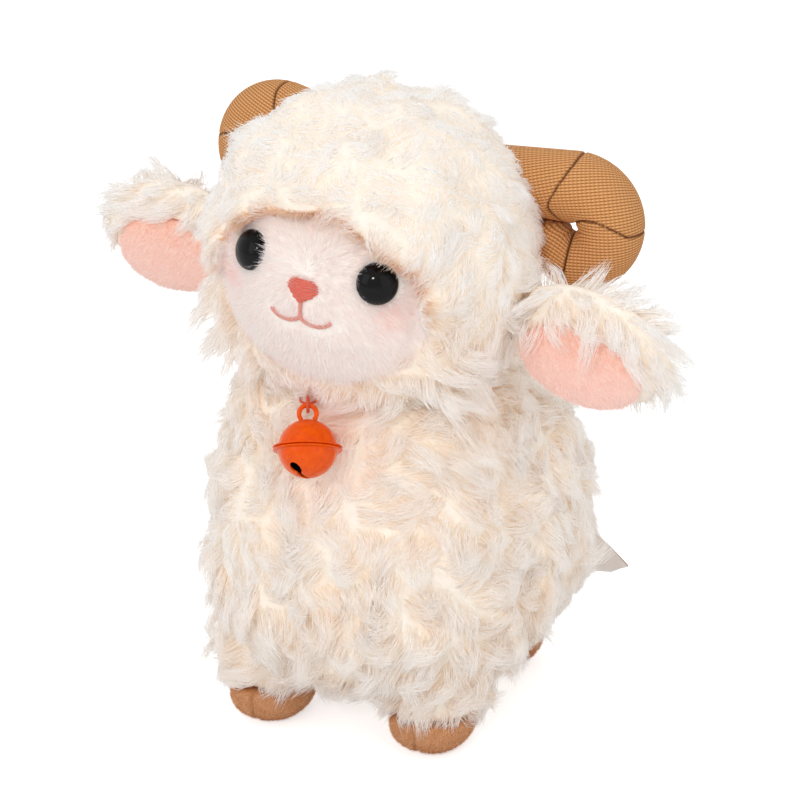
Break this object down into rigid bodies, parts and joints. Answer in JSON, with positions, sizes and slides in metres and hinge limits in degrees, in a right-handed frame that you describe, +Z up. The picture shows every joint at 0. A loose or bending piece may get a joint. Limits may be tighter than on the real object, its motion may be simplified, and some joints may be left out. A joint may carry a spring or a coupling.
{
  "type": "plush sheep",
  "caption": "Standing stuffed toy sheep with a woolly body, a tilted head, hanging ears, knitted spiral horns, plush hooves and a jingle bell under the chin.",
  "frame": {"origin": "on the floor, under the middle of the sheep's bounding box", "axes": "+Z up, -Y the way the sheep faces, +X its left side"},
  "size_m": [0.192, 0.152, 0.2117],
  "materials": {
    "wool": "curly cream pile",
    "plush": "short cream pile",
    "pink": "short pink pile",
    "knit": "ribbed caramel knit",
    "hoof": "short tan pile",
    "stuffing": "white polyester fibre",
    "eye": "polished black",
    "washer": "moulded white",
    "nose": "coral satin stitch",
    "bell": "glossy orange",
    "pea": "plain steel",
    "thread": "twisted orange-red thread",
    "label": "folded white satin tape"
  },
  "bodies": {
    "sheep": {"body_cover": "wool", "body_stuffing": "stuffing", "head_cover": "wool", "head_stuffing": "stuffing", "face_panel": "plush", "nose_embroidery": "nose", "mouth_embroidery": "nose", "bell_tack_stitch": "thread", "front_left_leg_cover": "wool", "front_left_leg_stuffing": "stuffing", "front_left_hoof": "hoof", "front_right_leg_cover": "wool", "front_right_leg_stuffing": "stuffing", "front_right_hoof": "hoof", "hind_left_leg_cover": "wool", "hind_left_leg_stuffing": "stuffing", "hind_left_hoof": "hoof", "hind_right_leg_cover": "wool", "hind_right_leg_stuffing": "stuffing", "hind_right_hoof": "hoof", "left_eye": "eye", "left_eye_washer": "washer", "left_horn_cover": "knit", "left_horn_stuffing": "stuffing", "right_eye": "eye", "right_eye_washer": "washer", "right_horn_cover": "knit", "right_horn_stuffing": "stuffing"},
    "left_ear": {"left_ear_back": "wool", "left_ear_lining": "pink"},
    "right_ear": {"right_ear_back": "wool", "right_ear_lining": "pink"},
    "tail": {"tail": "wool"},
    "label": {"care_label": "label"},
    "thread": {"bell_thread_ring": "thread"},
    "bell": {"bell_upper_shell": "bell", "bell_lower_shell": "bell", "bell_loop": "bell"},
    "pea": {"bell_pea": "pea"}
  },
  "joints": [
    {"name": "left_ear_flap", "type": "hinge", "parent": "sheep", "child": "left_ear", "pos_m": [0.0466, -0.0268, 0.14269], "axis": [0.1097, 0, 0.994], "range_deg": [-30, 10], "stiffness_Nm_per_rad": 0.02},
    {"name": "right_ear_flap", "type": "hinge", "parent": "sheep", "child": "right_ear", "pos_m": [-0.04685, -0.0268, 0.153], "axis": [-0.1097, 0, -0.994], "range_deg": [-30, 10], "stiffness_Nm_per_rad": 0.02},
    {"name": "tail_wag", "type": "hinge", "parent": "sheep", "child": "tail", "pos_m": [-0.00298, 0.05729, 0.0775], "axis": [0, 0, 1], "range_deg": [-20, 20], "stiffness_Nm_per_rad": 0.01},
    {"name": "label_flap", "type": "hinge", "parent": "sheep", "child": "label", "pos_m": [0.0441, 0.03576, 0.0455], "axis": [0.4455, 0.227, 0.866], "range_deg": [-20, 20], "stiffness_Nm_per_rad": 0.0005},
    {"name": "thread_sway", "type": "hinge", "parent": "sheep", "child": "thread", "pos_m": [-0.00688, -0.05775, 0.11941], "axis": [-0.454, 0.891, 0], "range_deg": [-25, 25]},
    {"name": "bell_swing", "type": "hinge", "parent": "thread", "child": "bell", "pos_m": [-0.00613, -0.05922, 0.11941], "axis": [-0.891, -0.454, 0], "range_deg": [0, 55]},
    {"name": "pea_roll", "type": "hinge", "parent": "bell", "child": "pea", "pos_m": [-0.00298, -0.0654, 0.1083], "axis": [0.891, 0.454, 0], "range_deg": [-60, 60]}
  ]
}
